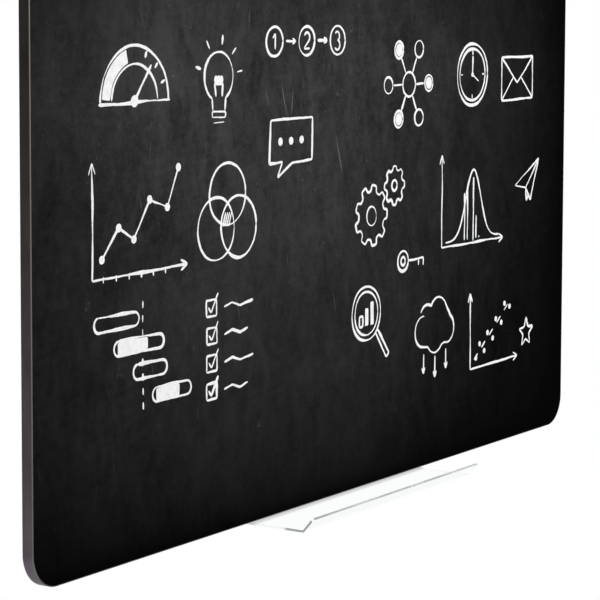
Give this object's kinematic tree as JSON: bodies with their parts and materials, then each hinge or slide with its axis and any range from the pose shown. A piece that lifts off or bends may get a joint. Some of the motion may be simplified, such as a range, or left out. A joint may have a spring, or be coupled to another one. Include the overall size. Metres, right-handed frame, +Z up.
{
  "type": "chalkboard",
  "caption": "Frameless wall-hung chalkboard with rounded corners, a dark edge band, hooked hanging rails, rubber bumpers and a clear bent chalk tray below.",
  "frame": {"origin": "on the wall plane, in the middle of the wall rail's row of screw slots", "axes": "+X to the reader's right, +Y into the wall (the board faces -Y), +Z up"},
  "size_m": [0.9, 0.0823, 0.6027],
  "materials": {
    "writing_laminate": "matte black chalk laminate with a haze of rubbed-out chalk",
    "fibreboard": "bare medium-density fibreboard",
    "backing_laminate": "plain dark balancing sheet, finely grained",
    "edge_plastic": "satin dark grey edge band, paler where it is scraped to a bevel",
    "rail_aluminium": "extruded and anodised, with fine lines along its length",
    "screw_steel": "zinc plated",
    "bumper_rubber": "moulded, matte",
    "clear_acrylic": "clear, polished on its cut edges",
    "washer_nylon": "natural nylon",
    "chalk": "dry white chalk powder, as drawn on the face"
  },
  "bodies": {
    "wall": {"wall_rail": "rail_aluminium"},
    "board": {"writing_surface": "writing_laminate", "core_board": "fibreboard", "backing_sheet": "backing_laminate", "edge_band": "edge_plastic", "board_rail": "rail_aluminium", "board_rail_screws": "screw_steel", "bumper_left": "bumper_rubber", "bumper_right": "bumper_rubber", "bumper_screws": "screw_steel", "tray": "clear_acrylic", "tray_washers": "washer_nylon", "tray_screws": "screw_steel"}
  },
  "joints": [
    {"name": "lift_off", "type": "slide", "parent": "wall", "child": "board", "axis": [0, 0, 1], "range_m": [0, 0.012]}
  ]
}
